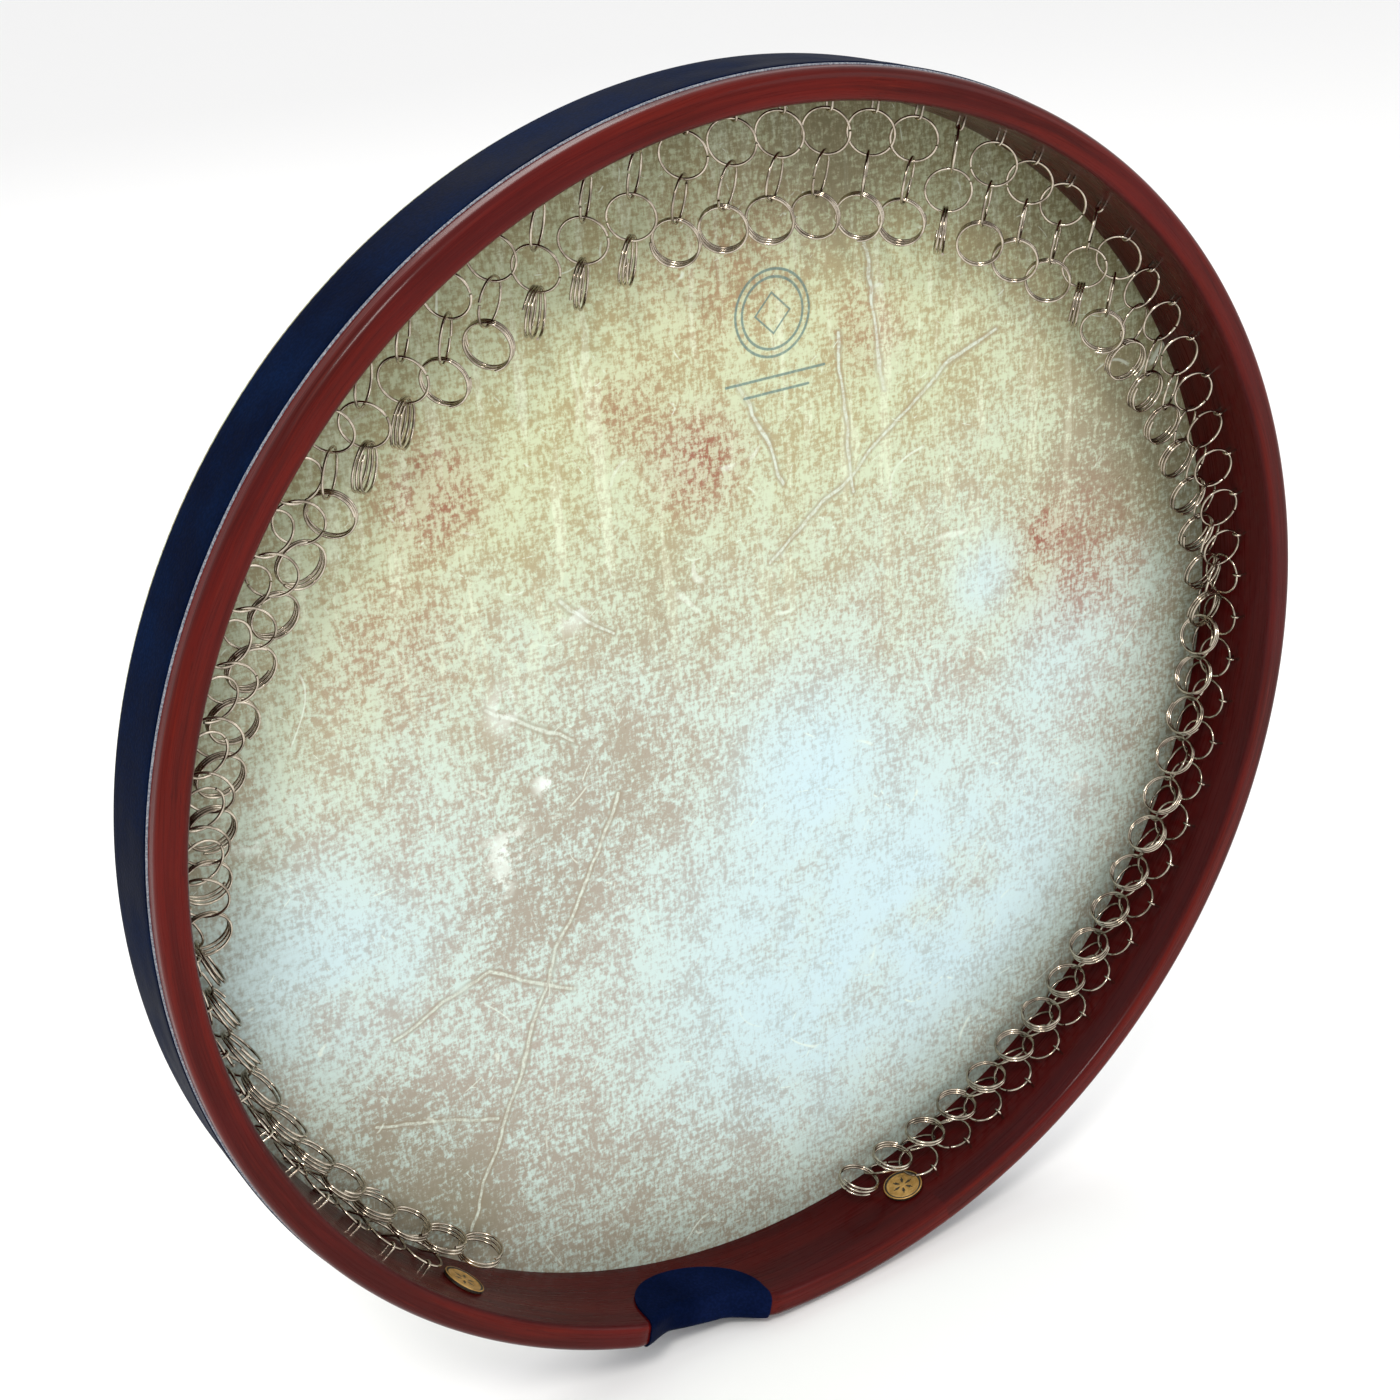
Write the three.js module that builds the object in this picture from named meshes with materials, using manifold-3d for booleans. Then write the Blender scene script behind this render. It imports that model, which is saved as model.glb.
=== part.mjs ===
// A ring-chain frame drum, the large tambourine called a daf: a wooden hoop closed by one skin, with short
// chains of three metal rings hooked round the inside of the hoop. Millimetres, +Z up. The drum stands
// upright with its axis along Y: the open rim faces -Y and the skin closes the +Y end. The origin is on
// the axis, halfway along the hoop's depth. Angles round the hoop run clockwise from the top as seen from
// the open side.
import * as THREE from "three";
import { mergeVertices } from "three/addons/utils/BufferGeometryUtils.js";
import Module from "manifold-3d";

const manifold = await Module();
manifold.setup();

// Driving dimensions.
const OUTER_RADIUS = 265;
const WALL = 12;
const DEPTH = 45;
const GAP = 0.3;
const HOOP_SEGMENTS = 96;
const ROUND_SEGMENTS = 24;

const SKIN_THICKNESS = 0.8;
const BAND_THICKNESS = 1.2;
const BAND_RIM_EDGE = 9;
const BAND_SKIN_EDGE = 4;
const BAND_RECESS = 0.5;
const CORNER_RADIUS = 4;
const INNER_CORNER_RADIUS = 3;
const CORNER_STEPS = 3;

const NOTCH_ANGLE = 194.3;
const NOTCH_WIDTH = 74;
const NOTCH_DEPTH = 10;
const NOTCH_SHOULDER = 25;
const PAD_WIDTH = 62;
const PAD_HEIGHT = 25;
const PAD_THICKNESS = 0.8;

const DISC_RADIUS = 9;
const DISC_THICKNESS = 1;
const DISC_FROM_RIM = 23;
const DISC_ANGLES = { label_disc_right: 167.2, label_disc_left: 220.7 };

const WIRE = 1.1;
const RING_RADIUS = 8.95;
const WIRE_SECTION_RADIUS = 0.65;
const RING_SIDES = 8;
const WIRE_SIDES = 3;
const CHAIN_COUNT = 64;
const FIRST_CHAIN_ANGLE = 163.7;
const LAST_CHAIN_ANGLE = -133.5;
const HOOK_FROM_RIM = 18;
const HOOK_HEIGHT = 4;

// Chains hooked nearer the top than this hang down. Lower ones lie on the hoop's wall.
const LYING_FROM = 84;
// The angles where the lay of neighbouring chains changes.
const LAY_CHANGES = [49, 83];
// The hanging chains slant towards the skin, because the drum leans back.
const HANG_SLANT = 15.8;
const RING_WALL_GAP = 0.7;
// The rings of the chains near the top are turned about the chain by turns one way and the other. These
// chains start the other way. Down the sides only the middle ring is turned.
const TOP_TURN = 45;
const TOP_CHAINS_UNTIL = 46;
const REVERSED_CHAINS = [27, 31, 38, 39, 40, 43, 44];
const SIDE_TURN = 22;
// A lying chain's three steps, each a heading on the wall (0 towards the skin, 90 downhill) and a lift.
const LYING_STEPS = [
  { heading: 12, lift: 4 },
  { heading: 61, lift: 5 },
  { heading: 102, lift: 26 },
];
const LYING_LAST_TURN = -35;

const INNER_RADIUS = OUTER_RADIUS - WALL;
const RIM_Y = -DEPTH / 2;
const SKIN_Y = DEPTH / 2;
const HOOP_END_Y = SKIN_Y - SKIN_THICKNESS - GAP;
const LINK_STEP = 2 * RING_RADIUS - WIRE;
const CHAIN_PITCH = (FIRST_CHAIN_ANGLE - LAST_CHAIN_ANGLE) / (CHAIN_COUNT - 1);

const MATERIALS = {
  wood: new THREE.MeshStandardMaterial({ color: 0x5a1712, roughness: 0.25, metalness: 0 }),
  skin: new THREE.MeshStandardMaterial({ color: 0xc3c3a4, roughness: 0.6, metalness: 0 }),
  vinyl: new THREE.MeshStandardMaterial({ color: 0x0d1c3e, roughness: 0.45, metalness: 0 }),
  steel: new THREE.MeshStandardMaterial({ color: 0xb9b6b0, roughness: 0.25, metalness: 1 }),
  brass: new THREE.MeshStandardMaterial({ color: 0xb59a58, roughness: 0.35, metalness: 1 }),
};

const radians = THREE.MathUtils.degToRad;

// The outward radial direction at an angle round the hoop.
function outward(angle) {
  return new THREE.Vector3(Math.sin(radians(angle)), 0, Math.cos(radians(angle)));
}

// The direction along the wall that leads down to the bottom of the hoop.
function downhill(angle) {
  const side = Math.sign(Math.sin(radians(angle))) || 1;
  return new THREE.Vector3(Math.cos(radians(angle)), 0, -Math.sin(radians(angle))).multiplyScalar(side);
}

function toSolid(geometry) {
  const bare = geometry.clone();
  bare.deleteAttribute("normal");
  bare.deleteAttribute("uv");
  const merged = mergeVertices(bare, 1e-4);
  const mesh = new manifold.Mesh({
    numProp: 3,
    vertProperties: new Float32Array(merged.attributes.position.array),
    triVerts: new Uint32Array(merged.index.array),
  });
  return new manifold.Manifold(mesh);
}

function toGeometry(solid) {
  const mesh = solid.getMesh();
  const geometry = new THREE.BufferGeometry();
  geometry.setAttribute("position", new THREE.BufferAttribute(mesh.vertProperties, 3));
  geometry.setIndex(new THREE.BufferAttribute(mesh.triVerts, 1));
  geometry.computeVertexNormals();
  return geometry;
}

// A ring turned about the drum's axis from a closed outline of [radius, y] points.
function turned(outline, segments = HOOP_SEGMENTS) {
  const points = outline.map(([radius, y]) => new THREE.Vector2(radius, y));
  points.push(points[0].clone());
  return new THREE.LatheGeometry(points, segments);
}

function turnedRing(inner, outer, low, high) {
  return turned([[inner, low], [outer, low], [outer, high], [inner, high]]);
}

// Points of a quarter round from one axis direction to the next.
function quarterRound(centreRadius, centreY, radius, startDegrees) {
  const points = [];
  for (let step = 0; step <= CORNER_STEPS; step += 1) {
    const angle = radians(startDegrees + (90 * step) / CORNER_STEPS);
    points.push([centreRadius + radius * Math.cos(angle), centreY + radius * Math.sin(angle)]);
  }
  return points;
}

// The notch's outline on the wall, as x across and y up from the open rim, made smaller by inset.
function notchOutline(inset) {
  const half = NOTCH_WIDTH / 2 - inset;
  const floor = NOTCH_DEPTH - inset;
  const flat = half - NOTCH_SHOULDER;
  const shape = new THREE.Shape();
  shape.moveTo(-half, -NOTCH_DEPTH);
  shape.lineTo(-half, 0);
  shape.bezierCurveTo(-half + NOTCH_SHOULDER / 2, 0, -flat - NOTCH_SHOULDER / 2, floor, -flat, floor);
  shape.lineTo(flat, floor);
  shape.bezierCurveTo(flat + NOTCH_SHOULDER / 2, floor, half - NOTCH_SHOULDER / 2, 0, half, 0);
  shape.lineTo(half, -NOTCH_DEPTH);
  shape.closePath();
  return shape;
}

// A shape drawn on the wall at the notch, pushed out through the wall along the radius.
function throughWall(shape, curveSegments) {
  const length = 3 * WALL;
  const geometry = new THREE.ExtrudeGeometry(shape, { depth: length, bevelEnabled: false, curveSegments });
  const across = downhill(NOTCH_ANGLE).negate();
  const up = new THREE.Vector3(0, 1, 0);
  const out = new THREE.Vector3().crossVectors(across, up);
  const start = out.clone().multiplyScalar(INNER_RADIUS - WALL);
  start.y = RIM_Y;
  geometry.applyMatrix4(new THREE.Matrix4().makeBasis(across, up, out).setPosition(start));
  return toSolid(geometry);
}

function hoop() {
  const bandStart = RIM_Y + BAND_RIM_EDGE - GAP;
  const underBand = OUTER_RADIUS - BAND_RECESS;
  const round = CORNER_RADIUS;
  const innerRound = INNER_CORNER_RADIUS;
  const outline = [
    ...quarterRound(OUTER_RADIUS - round, RIM_Y + round, round, -90),
    [OUTER_RADIUS, bandStart],
    [underBand, bandStart],
    [underBand, HOOP_END_Y],
    [INNER_RADIUS, HOOP_END_Y],
    ...quarterRound(INNER_RADIUS + innerRound, RIM_Y + innerRound, innerRound, 180),
  ];
  const blank = toSolid(turned(outline));
  return toGeometry(blank.subtract(throughWall(notchOutline(0), ROUND_SEGMENTS / 3)));
}

function drumHead() {
  const radius = OUTER_RADIUS - BAND_RECESS;
  const low = SKIN_Y - SKIN_THICKNESS;
  const outline = [new THREE.Vector2(0, low), new THREE.Vector2(radius, low)];
  outline.push(new THREE.Vector2(radius, SKIN_Y), new THREE.Vector2(0, SKIN_Y));
  return new THREE.LatheGeometry(outline, HOOP_SEGMENTS);
}

// The band round the outside, with the notch's floor cut out of its edge.
function outerBand() {
  const inner = OUTER_RADIUS - BAND_RECESS + GAP;
  const low = RIM_Y + BAND_RIM_EDGE;
  const band = toSolid(turnedRing(inner, inner + BAND_THICKNESS, low, SKIN_Y - BAND_SKIN_EDGE));
  return toGeometry(band.subtract(throughWall(notchOutline(-GAP), ROUND_SEGMENTS / 3)));
}

// A half-oval patch on the inner wall under the notch, folded out over the notch's floor.
function gripPad() {
  const patchOutline = new THREE.Shape();
  patchOutline.moveTo(-PAD_WIDTH / 2, 0);
  patchOutline.lineTo(PAD_WIDTH / 2, 0);
  patchOutline.absellipse(0, NOTCH_DEPTH, PAD_WIDTH / 2, PAD_HEIGHT, 0, Math.PI, false, 0);
  const outerFace = INNER_RADIUS - GAP;
  const lining = toSolid(turnedRing(outerFace - PAD_THICKNESS, outerFace, RIM_Y, SKIN_Y))
    .intersect(throughWall(patchOutline, ROUND_SEGMENTS / 2))
    .subtract(throughWall(notchOutline(GAP + PAD_THICKNESS), ROUND_SEGMENTS / 3));
  const fold = throughWall(notchOutline(GAP), ROUND_SEGMENTS / 3)
    .subtract(throughWall(notchOutline(GAP + PAD_THICKNESS), ROUND_SEGMENTS / 3))
    .intersect(toSolid(turnedRing(outerFace - PAD_THICKNESS, OUTER_RADIUS, RIM_Y + 2, SKIN_Y)));
  return toGeometry(lining.add(fold));
}

function labelDisc(name, angle) {
  const geometry = new THREE.CylinderGeometry(DISC_RADIUS, DISC_RADIUS, DISC_THICKNESS, ROUND_SEGMENTS);
  const mesh = new THREE.Mesh(geometry, MATERIALS.brass);
  const sagitta = INNER_RADIUS - Math.sqrt(INNER_RADIUS ** 2 - DISC_RADIUS ** 2);
  const out = outward(angle);
  mesh.quaternion.setFromUnitVectors(new THREE.Vector3(0, 1, 0), out);
  mesh.position.copy(out).multiplyScalar(INNER_RADIUS - sagitta - GAP - DISC_THICKNESS / 2);
  mesh.position.y = RIM_Y + DISC_FROM_RIM;
  mesh.name = name;
  return mesh;
}

// Where a chain's first ring hangs in its hook.
function hookPoint(angle) {
  const point = outward(angle).multiplyScalar(INNER_RADIUS - HOOK_HEIGHT);
  point.y = RIM_Y + HOOK_FROM_RIM;
  return point;
}

// The next step of a hanging chain: straight down its slant, or leaning in from the wall where it must.
function hangingStep(from, length, side) {
  const limit = INNER_RADIUS - RING_RADIUS - WIRE - RING_WALL_GAP;
  const across = length * Math.cos(radians(HANG_SLANT));
  const step = new THREE.Vector3(0, length * Math.sin(radians(HANG_SLANT)), -across);
  const next = from.clone().add(step);
  if (Math.hypot(next.x, next.z) <= limit) return step;
  const radius = Math.hypot(from.x, from.z);
  const cosine = (limit ** 2 - radius ** 2 - across ** 2) / (2 * radius * across);
  const out = new THREE.Vector3(from.x, 0, from.z).normalize();
  const down = new THREE.Vector3(out.z, 0, -out.x).multiplyScalar(side);
  const lean = out.multiplyScalar(cosine).add(down.multiplyScalar(Math.sqrt(1 - cosine ** 2)));
  return new THREE.Vector3(lean.x * across, step.y, lean.z * across);
}

// How far each ring of a hanging chain is turned about the chain.
function ringTurns(number, angle) {
  if (Math.abs(angle) > TOP_CHAINS_UNTIL) return [0, -SIDE_TURN * Math.sign(angle), 0];
  const turn = REVERSED_CHAINS.includes(number) ? -TOP_TURN : TOP_TURN;
  return [turn, -turn, turn];
}

// A hanging chain's rings, each as a centre, the direction it hangs in and the normal of its plane.
function hangingRings(number, angle) {
  const side = Math.sign(angle) || 1;
  const rings = [];
  let centre = hookPoint(angle);
  for (const [index, turn] of ringTurns(number, angle).entries()) {
    const step = hangingStep(centre, index === 0 ? RING_RADIUS : LINK_STEP, side);
    centre = centre.clone().add(step);
    const along = step.clone().normalize();
    const across = new THREE.Vector3(-along.z, 0, along.x).normalize();
    const normal = new THREE.Vector3().crossVectors(along, across).normalize();
    normal.applyAxisAngle(along, radians(turn));
    rings.push({ centre, along, normal });
  }
  return rings;
}

// A lying chain's rings: the first flat on the wall, the second against the skin, the third over the next.
function lyingRings(angle) {
  const down = downhill(angle);
  const lift = outward(angle).negate();
  const steps = LYING_STEPS.map(({ heading, lift: rise }) => {
    const flat = Math.cos(radians(rise));
    return down.clone().multiplyScalar(Math.sin(radians(heading)) * flat)
      .addScaledVector(lift, Math.sin(radians(rise)))
      .add(new THREE.Vector3(0, Math.cos(radians(heading)) * flat, 0));
  });
  const rings = [];
  let centre = hookPoint(angle);
  let normal = null;
  const side = Math.sign(Math.sin(radians(angle))) || 1;
  for (const [index, along] of steps.entries()) {
    centre = centre.clone().addScaledVector(along, index === 0 ? RING_RADIUS : LINK_STEP);
    if (index < steps.length - 1) {
      normal = new THREE.Vector3().crossVectors(along, steps[index + 1]).normalize();
    } else {
      normal = normal.clone().applyAxisAngle(along, radians(LYING_LAST_TURN * side)).normalize();
      normal.addScaledVector(along, -normal.dot(along)).normalize();
    }
    rings.push({ centre, along, normal });
  }
  return rings;
}

// One link. The negative tube radius points the three-sided wire's edge inwards, where the next link bears.
function link({ centre, along, normal }) {
  const geometry = new THREE.TorusGeometry(RING_RADIUS, -WIRE_SECTION_RADIUS, WIRE_SIDES, RING_SIDES);
  const across = new THREE.Vector3().crossVectors(normal, along);
  geometry.applyMatrix4(new THREE.Matrix4().makeBasis(along, across, normal).setPosition(centre));
  return toSolid(geometry);
}

function ringChain(number, angle) {
  const rings = Math.abs(angle) < LYING_FROM ? hangingRings(number, angle) : lyingRings(angle);
  return toGeometry(rings.map(link).reduce((chain, next) => chain.add(next)));
}

const drum = new THREE.Group();

function addPiece(name, geometry, material) {
  const mesh = new THREE.Mesh(geometry, material);
  mesh.name = name;
  drum.add(mesh);
}

addPiece("hoop", hoop(), MATERIALS.wood);
addPiece("drum_head", drumHead(), MATERIALS.skin);
addPiece("outer_band", outerBand(), MATERIALS.vinyl);
addPiece("grip_pad", gripPad(), MATERIALS.vinyl);
for (const [name, angle] of Object.entries(DISC_ANGLES)) drum.add(labelDisc(name, angle));

// Not every chain is a piece here: every second lying one is left out, and the one at each change of lay.
function isLeftOut(number, angle) {
  const lean = Math.abs(angle);
  if (lean >= LYING_FROM && number % 2 === 0) return true;
  return LAY_CHANGES.some((change) => Math.abs(lean - change) < CHAIN_PITCH / 2);
}

for (let number = 1; number <= CHAIN_COUNT; number += 1) {
  const angle = FIRST_CHAIN_ANGLE - (number - 1) * CHAIN_PITCH;
  if (isLeftOut(number, angle)) continue;
  addPiece(`ring_chain_${String(number).padStart(2, "0")}`, ringChain(number, angle), MATERIALS.steel);
}

export default drum;
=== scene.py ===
"""A ring-chain frame drum: a red-brown wooden hoop with one skin, a vinyl band round it, a pad over the
grip notch, two brass labels and 64 chains of three wire rings hooked round the inside. Metres, in the
CAD model's frame: the drum's axis is along Y, the open rim faces -Y and the skin +Y, and +Z is up."""

import math
import random

import bmesh
import bpy
from mathutils import Matrix, Quaternion, Vector, noise


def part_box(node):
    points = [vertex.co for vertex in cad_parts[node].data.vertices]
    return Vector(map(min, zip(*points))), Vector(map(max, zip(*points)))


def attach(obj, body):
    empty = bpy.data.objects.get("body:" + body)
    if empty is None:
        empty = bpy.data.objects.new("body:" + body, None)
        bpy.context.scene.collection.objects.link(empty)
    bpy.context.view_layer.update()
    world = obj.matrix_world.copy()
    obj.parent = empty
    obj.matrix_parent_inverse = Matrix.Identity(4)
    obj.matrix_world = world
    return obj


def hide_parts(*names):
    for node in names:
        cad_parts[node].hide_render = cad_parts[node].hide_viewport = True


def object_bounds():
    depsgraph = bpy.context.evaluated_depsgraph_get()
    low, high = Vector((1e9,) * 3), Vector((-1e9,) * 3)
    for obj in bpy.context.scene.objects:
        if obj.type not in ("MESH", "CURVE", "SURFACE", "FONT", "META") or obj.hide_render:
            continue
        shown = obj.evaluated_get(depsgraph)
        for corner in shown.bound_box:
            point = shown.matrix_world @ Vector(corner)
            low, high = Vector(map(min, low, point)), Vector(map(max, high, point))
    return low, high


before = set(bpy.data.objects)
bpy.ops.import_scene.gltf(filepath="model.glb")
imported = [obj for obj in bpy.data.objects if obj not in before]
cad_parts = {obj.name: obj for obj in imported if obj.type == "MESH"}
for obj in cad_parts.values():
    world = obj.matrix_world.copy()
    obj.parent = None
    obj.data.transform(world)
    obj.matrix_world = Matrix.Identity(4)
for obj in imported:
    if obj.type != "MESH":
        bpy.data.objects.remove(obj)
cad_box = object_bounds()

MM = 0.001
scene = bpy.context.scene

# Sizes that the frame gives.
hoop_low, hoop_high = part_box("hoop")
head_low, head_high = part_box("drum_head")
band_low, band_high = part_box("outer_band")
OUTER = hoop_high.z
RIM_Y = hoop_low.y
SKIN_IN = head_low.y
SKIN_OUT = head_high.y
UNDER_BAND = head_high.z
BAND_OUTER = band_high.z
BAND_THICKNESS = 1.2 * MM
WALL = 12 * MM
INNER = OUTER - WALL

# The notch and its pad, as the CAD model has them.
NOTCH_ANGLE = math.radians(194.3)
NOTCH_WIDTH = 74 * MM
NOTCH_DEPTH = 10 * MM
NOTCH_SHOULDER = 25 * MM
PAD_WIDTH = 62 * MM
PAD_HEIGHT = 25 * MM

# The chains' rule, as the CAD model has it. Angles are in degrees unless math.radians is called.
WIRE = 1.1 * MM
RING = 8.95 * MM
LINK_STEP = 2 * RING - WIRE
CHAIN_COUNT = 64
FIRST_CHAIN_ANGLE = 163.7
LAST_CHAIN_ANGLE = -133.5
CHAIN_PITCH = (FIRST_CHAIN_ANGLE - LAST_CHAIN_ANGLE) / (CHAIN_COUNT - 1)
HOOK_FROM_RIM = 18 * MM
HOOK_HEIGHT = 4 * MM
LYING_FROM = 84
HANG_SLANT = math.radians(15.8)
RING_WALL_GAP = 0.7 * MM
TOP_TURN = 45
TOP_CHAINS_UNTIL = 46
REVERSED_CHAINS = (27, 31, 38, 39, 40, 43, 44)
SIDE_TURN = 22
# Each step's heading on the wall (0 towards the skin, 90 downhill) and its lift off the wall.
LYING_STEPS = ((12, 4), (61, 5), (102, 26))
LYING_LAST_TURN = -35


# ---------------------------------------------------------------- camera

CAMERA_PLACE = Vector((-0.4311, -0.6714, 0.3889))
CAMERA_TARGET = Vector((-0.0373, -0.005, 0.0319))
CAMERA_ROLL = math.radians(-4.1)
CAMERA_LENS = 56.6


def make_camera():
    data = bpy.data.cameras.new("camera")
    data.lens = CAMERA_LENS
    data.clip_start = 0.01
    camera = bpy.data.objects.new("camera", data)
    scene.collection.objects.link(camera)
    aim = (CAMERA_TARGET - CAMERA_PLACE).to_track_quat("-Z", "Y")
    camera.rotation_mode = "QUATERNION"
    camera.rotation_quaternion = aim @ Quaternion((0, 0, 1), CAMERA_ROLL)
    camera.location = CAMERA_PLACE
    scene.camera = camera


make_camera()


# ---------------------------------------------------------------- materials


def colour(code):
    """The linear colour of a #rrggbb code."""
    parts = [int(code[i : i + 2], 16) / 255 for i in (1, 3, 5)]
    return (*[p / 12.92 if p <= 0.04045 else ((p + 0.055) / 1.055) ** 2.4 for p in parts], 1.0)


class Shader:
    """One material's nodes, with a short call for each kind that is used here."""

    def __init__(self, name, **sockets):
        self.material = bpy.data.materials.new(name)
        self.material.use_nodes = True
        self.tree = self.material.node_tree
        self.surface = self.tree.nodes["Principled BSDF"]
        self.place = self.node("ShaderNodeTexCoord").outputs["Object"]
        for socket, value in sockets.items():
            self.set(socket.replace("_", " "), value)

    def set(self, socket, value):
        """Links a node's output to the surface's socket, or sets the socket's own value."""
        target = next(s for s in self.surface.inputs if s.name.lower() == socket.lower())
        self.feed(target, value)

    def feed(self, target, value):
        if isinstance(value, bpy.types.NodeSocket):
            self.tree.links.new(value, target)
        else:
            target.default_value = value

    def node(self, kind, inputs=(), **settings):
        made = self.tree.nodes.new(kind)
        for key, value in settings.items():
            setattr(made, key, value)
        for index, value in enumerate(inputs):
            if value is not None:
                self.feed(made.inputs[index], value)
        return made

    def math(self, operation, first, second=0.0, third=0.0, clamp=False):
        inputs = (first, second, third)
        return self.node("ShaderNodeMath", inputs, operation=operation, use_clamp=clamp).outputs[0]

    def vector(self, operation, first, second=None):
        made = self.node("ShaderNodeVectorMath", (first, second), operation=operation)
        return made.outputs["Value" if operation in ("LENGTH", "DISTANCE", "DOT_PRODUCT") else "Vector"]

    def scaled(self, vector, factor):
        made = self.node("ShaderNodeVectorMath", (vector,), operation="SCALE")
        self.feed(made.inputs["Scale"], factor)
        return made.outputs["Vector"]

    def stretched(self, vector, scale, turn=(0, 0, 0)):
        made = self.node("ShaderNodeMapping", (vector, None, turn, scale))
        return made.outputs[0]

    def noise(self, vector, scale=1.0, detail=3.0, roughness=0.55):
        made = self.node("ShaderNodeTexNoise")
        wanted = {"Vector": vector, "Scale": scale, "Detail": detail, "Roughness": roughness}
        for socket, value in wanted.items():
            self.feed(made.inputs[socket], value)
        return made.outputs["Fac"]

    def range(self, value, low, high, start=0.0, end=1.0):
        """A smooth change from start to end as value goes from low to high."""
        inputs = (value, low, high, start, end)
        made = self.node("ShaderNodeMapRange", inputs, interpolation_type="SMOOTHSTEP")
        return made.outputs[0]

    def mix(self, factor, first, second, blend="MIX"):
        made = self.node("ShaderNodeMix", data_type="RGBA", blend_type=blend)
        self.feed(made.inputs[0], factor)
        self.feed(made.inputs[6], first)
        self.feed(made.inputs[7], second)
        return made.outputs[2]

    def bump(self, height, distance, strength=1.0):
        made = self.node("ShaderNodeBump")
        for socket, value in {"Strength": strength, "Distance": distance, "Height": height}.items():
            self.feed(made.inputs[socket], value)
        self.set("Normal", made.outputs[0])


def wood_material():
    shader = Shader(
        "mahogany",
        roughness=0.36,
        specular_ior_level=0.08,
        coat_weight=0.1,
        coat_roughness=0.08,
    )
    # The grain runs round the hoop: its coordinates are the way round, the depth and the radius.
    turned = shader.stretched(shader.place, (1, 1, 1), (0, NOTCH_ANGLE - math.pi, 0))
    split = shader.node("ShaderNodeSeparateXYZ", (turned,))
    angle = shader.math("ARCTAN2", split.outputs["X"], split.outputs["Z"])
    flat = shader.vector("MULTIPLY", turned, (1, 0, 1))
    radius = shader.vector("LENGTH", flat)
    along = shader.math("MULTIPLY", angle, OUTER)
    grain = shader.node("ShaderNodeCombineXYZ", (along, split.outputs["Y"], radius)).outputs[0]
    wave = shader.noise(shader.stretched(grain, (9, 40, 40)), 1, 2)
    bent = shader.vector("ADD", grain, shader.scaled((0, 0.006, 0.006), wave))
    figure = shader.noise(shader.stretched(bent, (5, 150, 150)), 1, 4, 0.6)
    fibre = shader.noise(shader.stretched(bent, (28, 1100, 1100)), 1, 5, 0.65)
    pores = shader.noise(shader.stretched(bent, (160, 2600, 2600)), 1, 2, 0.5)
    mottle = shader.noise(shader.place, 14, 3)
    base = shader.mix(shader.range(figure, 0.36, 0.64), colour("#3e0704"), colour("#590e05"))
    base = shader.mix(shader.range(fibre, 0.5, 0.8, 0, 0.35), base, colour("#74200d"))
    base = shader.mix(shader.range(fibre, 0.3, 0.48, 0.4, 0), base, colour("#380603"))
    base = shader.mix(shader.range(pores, 0.6, 0.72, 0, 0.4), base, colour("#2a0503"))
    base = shader.mix(shader.range(mottle, 0.4, 0.7, 0, 0.3), base, colour("#5a0f12"))
    # Painted shade: the inside of the wall is darker than the rim, standing in for the shade inside the
    # hoop.
    inside = shader.range(radius, INNER + 0.2 * MM, INNER + 1.6 * MM, 0.62, 0)
    base = shader.mix(inside, base, colour("#2e060a"))
    shader.set("Base Color", base)
    shader.set("Roughness", shader.range(fibre, 0.3, 0.8, 0.24, 0.42))
    height = shader.math("MULTIPLY_ADD", pores, -0.6, fibre)
    shader.bump(height, 0.0001, 0.35)
    return shader.material


def segment_distance(shader, point, start, end):
    """How far a point is from a straight line between two (x, z) places on the skin."""
    first = Vector((start[0], 0, start[1]))
    reach = Vector((end[0], 0, end[1])) - first
    offset = shader.vector("SUBTRACT", point, tuple(first))
    dot = shader.vector("DOT_PRODUCT", offset, tuple(reach))
    share = shader.math("DIVIDE", dot, reach.length_squared, clamp=True)
    nearest = shader.scaled(tuple(reach), share)
    return shader.vector("DISTANCE", offset, nearest)


def nearest_line(shader, point, lines):
    """How far a point is from the nearest of several lines, each a list of (x, z) places."""
    found = None
    for line in lines:
        for start, end in zip(line, line[1:]):
            distance = segment_distance(shader, point, start, end)
            found = distance if found is None else shader.math("MINIMUM", found, distance)
    return found


def soft_spots(shader, point, spots):
    """The sum of round soft spots, each (x, z, radius, strength)."""
    total = 0.0
    for x, z, radius, strength in spots:
        distance = shader.vector("DISTANCE", point, (x, 0, z))
        spot = shader.range(distance, radius, radius * 0.1, 0, strength)
        total = shader.math("ADD", total, spot)
    return total


# Pale creases in the skin, in metres across and up from its centre.
CREASES = (
    ((-0.150, -0.187), (-0.100, -0.078), (-0.062, -0.012)),
    ((0.017, 0.067), (0.105, 0.129), (0.133, 0.139)),
    ((-0.184, -0.119), (-0.131, -0.137)),
    ((-0.172, -0.084), (-0.127, -0.070), (-0.090, -0.092)),
    ((-0.117, 0.042), (-0.080, 0.017)),
    ((0.053, 0.155), (0.057, 0.088)),
    ((0.005, 0.143), (0.024, 0.099)),
    ((-0.080, 0.076), (-0.058, 0.056)),
    ((0.068, 0.190), (0.074, 0.128)),
)
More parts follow.
